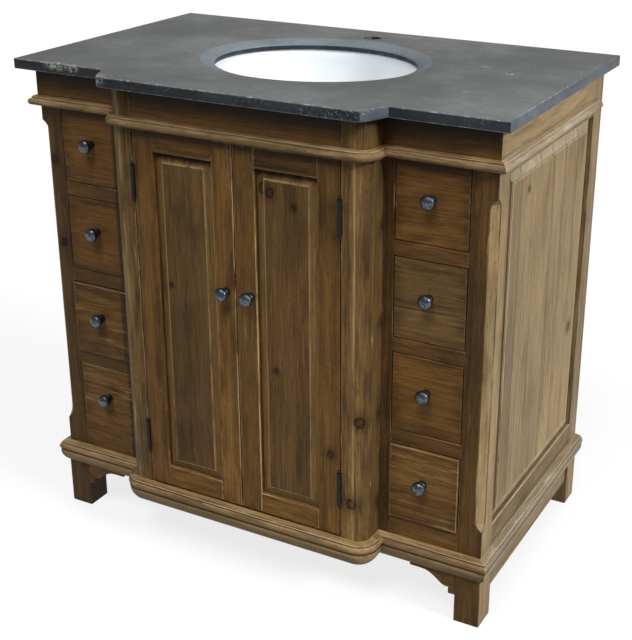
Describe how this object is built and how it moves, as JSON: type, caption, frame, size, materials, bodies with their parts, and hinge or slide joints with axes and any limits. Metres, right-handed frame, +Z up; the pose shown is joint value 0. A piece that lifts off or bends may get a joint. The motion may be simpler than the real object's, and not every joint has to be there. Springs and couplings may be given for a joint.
{
  "type": "washstand vanity",
  "caption": "Breakfront pine bathroom vanity with a stone top, an oval undermount basin, panelled cupboard doors and banks of drawers with turned knobs.",
  "frame": {"origin": "on the floor under the middle of the stone top's bounding rectangle", "axes": "+X to the right seen from the front, +Y to the wall behind, +Z up"},
  "size_m": [0.914, 0.58, 0.889],
  "materials": {
    "stone": "honed bluestone, worn edges",
    "basin_white": "glossy white glaze",
    "seal": "soft silicone bead",
    "fixings": "plain zinc plated",
    "frame_wood": "waxed reclaimed pine",
    "column_wood": "waxed reclaimed pine",
    "inner_wood": "raw pine",
    "panel_wood": "waxed reclaimed pine",
    "door_wood": "waxed reclaimed pine",
    "drawer_wood": "waxed reclaimed pine",
    "moulding_wood": "worn, greyed pine",
    "knob_metal": "dark pewter polish",
    "hinge_iron": "dark oiled iron"
  },
  "bodies": {
    "cabinet": {"stone_top": "stone", "basin": "basin_white", "basin_seal": "seal", "basin_clips": "fixings", "clip_screws": "fixings", "left_front_post": "frame_wood", "left_back_post": "frame_wood", "left_drawer_rails": "frame_wood", "left_side_rails": "frame_wood", "left_column": "column_wood", "left_partition": "inner_wood", "left_drawer_runners": "inner_wood", "left_side_panel": "panel_wood", "left_hinge_frame_leaves": "hinge_iron", "left_hinge_pins": "hinge_iron", "right_front_post": "frame_wood", "right_back_post": "frame_wood", "right_drawer_rails": "frame_wood", "right_side_rails": "frame_wood", "right_column": "column_wood", "right_partition": "inner_wood", "right_drawer_runners": "inner_wood", "right_side_panel": "panel_wood", "right_hinge_frame_leaves": "hinge_iron", "right_hinge_pins": "hinge_iron", "wing_stiles": "frame_wood", "frieze_boards": "frame_wood", "centre_rails": "frame_wood", "leg_brackets": "frame_wood", "side_aprons": "frame_wood", "cabinet_floor": "inner_wood", "back_panel": "inner_wood", "back_rails": "inner_wood", "door_catches": "inner_wood", "waist_moulding": "moulding_wood", "base_moulding": "moulding_wood"},
    "left_door": {"left_door_frame": "door_wood", "left_door_panel": "panel_wood", "left_door_knob": "knob_metal", "left_hinge_door_leaves": "hinge_iron"},
    "left_drawer_1": {"left_drawer_1": "drawer_wood", "left_drawer_1_knob": "knob_metal"},
    "left_drawer_2": {"left_drawer_2": "drawer_wood", "left_drawer_2_knob": "knob_metal"},
    "left_drawer_3": {"left_drawer_3": "drawer_wood", "left_drawer_3_knob": "knob_metal"},
    "left_drawer_4": {"left_drawer_4": "drawer_wood", "left_drawer_4_knob": "knob_metal"},
    "right_door": {"right_door_frame": "door_wood", "right_door_panel": "panel_wood", "right_door_knob": "knob_metal", "right_hinge_door_leaves": "hinge_iron"},
    "right_drawer_1": {"right_drawer_1": "drawer_wood", "right_drawer_1_knob": "knob_metal"},
    "right_drawer_2": {"right_drawer_2": "drawer_wood", "right_drawer_2_knob": "knob_metal"},
    "right_drawer_3": {"right_drawer_3": "drawer_wood", "right_drawer_3_knob": "knob_metal"},
    "right_drawer_4": {"right_drawer_4": "drawer_wood", "right_drawer_4_knob": "knob_metal"}
  },
  "joints": [
    {"name": "left_door_hinge", "type": "hinge", "parent": "cabinet", "child": "left_door", "pos_m": [-0.19612, -0.2663, 0.4725], "axis": [0, 0, -1], "range_deg": [0, 95]},
    {"name": "left_drawer_1_slide", "type": "slide", "parent": "cabinet", "child": "left_drawer_1", "axis": [0, -1, 0], "range_m": [0, 0.3]},
    {"name": "left_drawer_2_slide", "type": "slide", "parent": "cabinet", "child": "left_drawer_2", "axis": [0, -1, 0], "range_m": [0, 0.3]},
    {"name": "left_drawer_3_slide", "type": "slide", "parent": "cabinet", "child": "left_drawer_3", "axis": [0, -1, 0], "range_m": [-0.005, 0.3]},
    {"name": "left_drawer_4_slide", "type": "slide", "parent": "cabinet", "child": "left_drawer_4", "axis": [0, -1, 0], "range_m": [0, 0.3]},
    {"name": "right_door_hinge", "type": "hinge", "parent": "cabinet", "child": "right_door", "pos_m": [0.19612, -0.2663, 0.4725], "axis": [0, 0, 1], "range_deg": [0, 95]},
    {"name": "right_drawer_1_slide", "type": "slide", "parent": "cabinet", "child": "right_drawer_1", "axis": [0, -1, 0], "range_m": [0, 0.3]},
    {"name": "right_drawer_2_slide", "type": "slide", "parent": "cabinet", "child": "right_drawer_2", "axis": [0, -1, 0], "range_m": [0, 0.3]},
    {"name": "right_drawer_3_slide", "type": "slide", "parent": "cabinet", "child": "right_drawer_3", "axis": [0, -1, 0], "range_m": [0, 0.3]},
    {"name": "right_drawer_4_slide", "type": "slide", "parent": "cabinet", "child": "right_drawer_4", "axis": [0, -1, 0], "range_m": [-0.005, 0.3]}
  ]
}
